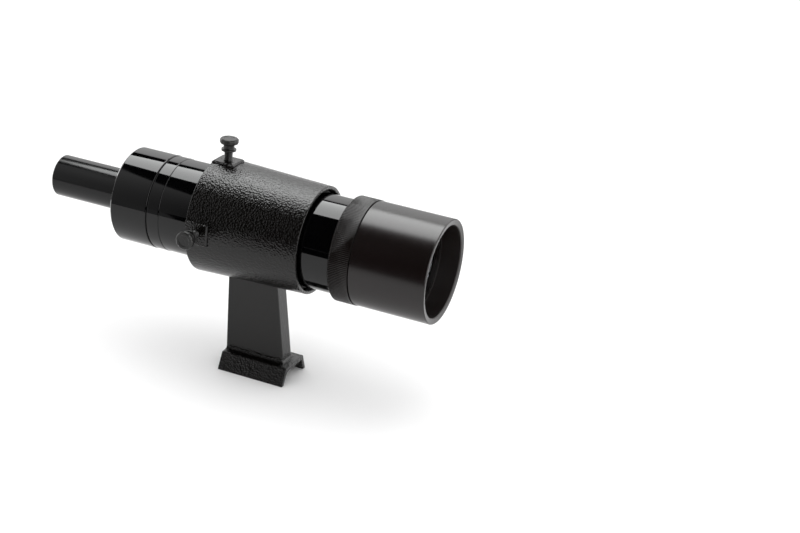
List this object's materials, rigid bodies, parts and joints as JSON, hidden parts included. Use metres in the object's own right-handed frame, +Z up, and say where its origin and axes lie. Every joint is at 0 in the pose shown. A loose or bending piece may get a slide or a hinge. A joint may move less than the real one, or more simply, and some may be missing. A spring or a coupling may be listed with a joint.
{
  "type": "finder scope",
  "caption": "Straight-through finder scope in a tapered tube bracket with dovetail foot, thumbscrew and spring-plunger alignment, lock ring and screw-focus objective.",
  "frame": {"origin": "centre of the dovetail foot's seating plane", "axes": "+X along the optical axis towards the objective, +Y to the spring plunger's side, +Z up from the foot to the tube"},
  "size_m": [0.2456, 0.083, 0.1368],
  "materials": {
    "textured_black": "black wrinkle-textured paint on an aluminium casting",
    "gloss_black": "high-gloss black paint on aluminium tube",
    "satin_black": "satin black anodised aluminium",
    "matte_black": "matte black anodised aluminium",
    "screw_black": "blackened steel",
    "nylon": "natural nylon",
    "spring_steel": "bright spring wire",
    "black_rubber": "nitrile rubber",
    "coated_glass": "optical glass with a thin blue-violet coating",
    "fine_wire": "dark drawn wire"
  },
  "bodies": {
    "bracket": {"bracket": "textured_black", "plunger_sleeve": "matte_black"},
    "top_tip": {"top_screw_tip": "nylon"},
    "top_screw": {"top_thumbscrew": "screw_black"},
    "side_tip": {"side_screw_tip": "nylon"},
    "side_screw": {"side_thumbscrew": "screw_black"},
    "spring": {"plunger_spring": "spring_steel"},
    "pin": {"plunger_pin": "nylon"},
    "gimbal": {"centring_ring": "black_rubber"},
    "tube": {"main_tube": "gloss_black", "light_baffle": "matte_black", "rear_collar": "gloss_black", "rear_cap": "gloss_black", "eyepiece_tube": "satin_black", "eye_lens_retainer": "matte_black", "eye_lens": "coated_glass", "eyepiece_spacer": "matte_black", "field_lens": "coated_glass", "field_lens_retainer": "matte_black", "field_stop": "matte_black", "crosshair_wires": "fine_wire"},
    "focus_carrier": {"lens_spacer": "matte_black"},
    "objective": {"objective_cell": "satin_black", "flint_lens": "coated_glass", "crown_lens": "coated_glass", "objective_retainer": "matte_black"},
    "lock_ring": {"lock_ring": "matte_black"}
  },
  "joints": [
    {"name": "top_screw_travel", "type": "slide", "parent": "bracket", "child": "top_tip", "axis": [0, 0, 1], "range_m": [-0.00141, 0.00141]},
    {"name": "top_screw_turn", "type": "hinge", "parent": "top_tip", "child": "top_screw", "pos_m": [-0.0309, 0, 0.12], "axis": [0, 0, 1], "range_deg": [-630, 630]},
    {"name": "side_screw_travel", "type": "slide", "parent": "bracket", "child": "side_tip", "axis": [0, -1, 0], "range_m": [-0.00141, 0.00141]},
    {"name": "side_screw_turn", "type": "hinge", "parent": "side_tip", "child": "side_screw", "pos_m": [-0.0309, -0.03, 0.0894], "axis": [0, -1, 0], "range_deg": [-630, 630]},
    {"name": "plunger_spring_travel", "type": "slide", "parent": "bracket", "child": "spring", "axis": [0, 0.7071, -0.7071], "range_m": [-0.001, 0.001]},
    {"name": "plunger_pin_travel", "type": "slide", "parent": "spring", "child": "pin", "axis": [0, 0.7071, -0.7071], "range_m": [-0.001, 0.001]},
    {"name": "tube_tilt", "type": "hinge", "parent": "bracket", "child": "gimbal", "pos_m": [0.0251, 0, 0.0894], "axis": [0, 1, 0], "range_deg": [-1.43, 1.43]},
    {"name": "tube_swing", "type": "hinge", "parent": "gimbal", "child": "tube", "pos_m": [0.0251, 0, 0.0894], "axis": [0, 0, 1], "range_deg": [-1.43, 1.43]},
    {"name": "focus_travel", "type": "slide", "parent": "tube", "child": "focus_carrier", "axis": [1, 0, 0], "range_m": [-0.00201, 0.00201]},
    {"name": "objective_turn", "type": "hinge", "parent": "focus_carrier", "child": "objective", "pos_m": [0.083, 0, 0.0894], "axis": [1, 0, 0], "range_deg": [-720, 720]},
    {"name": "lock_ring_turn", "type": "hinge", "parent": "objective", "child": "lock_ring", "pos_m": [0.0543, 0, 0.0894], "axis": [1, 0, 0], "range_deg": [-90, 0]}
  ],
  "couplings": [
    {"joint": "top_screw_travel", "follows": "tube_tilt", "m_per_rad": 0.056},
    {"joint": "top_screw_turn", "follows": "tube_tilt", "ratio": 439.82},
    {"joint": "plunger_spring_travel", "follows": "tube_tilt", "m_per_rad": -0.039598},
    {"joint": "side_screw_travel", "follows": "tube_swing", "m_per_rad": 0.056},
    {"joint": "side_screw_turn", "follows": "tube_swing", "ratio": 439.82},
    {"joint": "plunger_pin_travel", "follows": "tube_swing", "m_per_rad": -0.039598},
    {"joint": "focus_travel", "follows": "objective_turn", "m_per_rad": 0.00015915}
  ]
}
